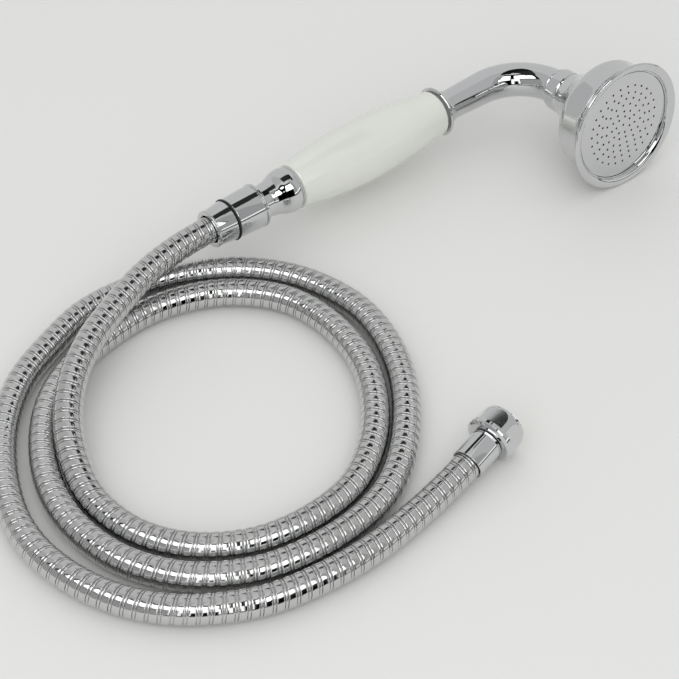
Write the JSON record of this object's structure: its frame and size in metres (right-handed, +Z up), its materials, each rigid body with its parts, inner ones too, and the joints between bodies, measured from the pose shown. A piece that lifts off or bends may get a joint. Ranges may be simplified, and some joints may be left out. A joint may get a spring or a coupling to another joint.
{
  "type": "hand shower with hose",
  "caption": "Bath sprayer: round perforated spray head on a bent chrome neck, white ceramic barrel handle, and a coiled flexible metal hose with a conical swivel nut and a hex tap nut.",
  "frame": {"origin": "on the table below the middle of the handset's bounding box, the hose and its ends left out", "axes": "+X along the handle from the hose to the head, +Z up from the table, the spray plate faces -Y"},
  "size_m": [0.4348, 0.2255, 0.0716],
  "materials": {
    "chrome": "bright chrome plate",
    "hose_steel": "bright plated strip wound in a helix",
    "raw_brass": "turned, unplated",
    "white_glaze": "smooth white glaze",
    "black_rubber": "matt",
    "grey_plastic": "moulded"
  },
  "bodies": {
    "hose": {"hose_jacket": "hose_steel", "hose_liner": "black_rubber", "hose_sleeve": "chrome", "swivel_ring": "black_rubber", "hose_tail_handset": "raw_brass", "tap_ferrule": "chrome", "hose_tail_tap": "raw_brass", "tap_washer": "black_rubber"},
    "handset": {"cone_nut": "chrome", "inlet_washer": "black_rubber", "base_fitting": "chrome", "flow_limiter": "grey_plastic", "ceramic_handle": "white_glaze", "core_tube": "raw_brass", "lower_cushion_washer": "grey_plastic", "upper_cushion_washer": "grey_plastic", "top_flange": "chrome", "neck_tube": "chrome", "neck_ring": "chrome", "union_collar": "chrome", "union_washer": "black_rubber", "head_shell": "chrome", "head_rim": "chrome", "plate_gasket": "black_rubber", "spray_plate": "chrome"},
    "tap_nut": {"hex_nut": "chrome"}
  },
  "joints": [
    {"name": "handset_swivel", "type": "hinge", "parent": "hose", "child": "handset", "pos_m": [-0.12047, 0.03665, 0.02555], "axis": [1, 0, 0], "continuous": true},
    {"name": "hex_nut_turn", "type": "hinge", "parent": "hose", "child": "tap_nut", "pos_m": [-0.13047, -0.15655, 0.0099], "axis": [0.9732, 0.1892, 0.1305], "continuous": true}
  ]
}
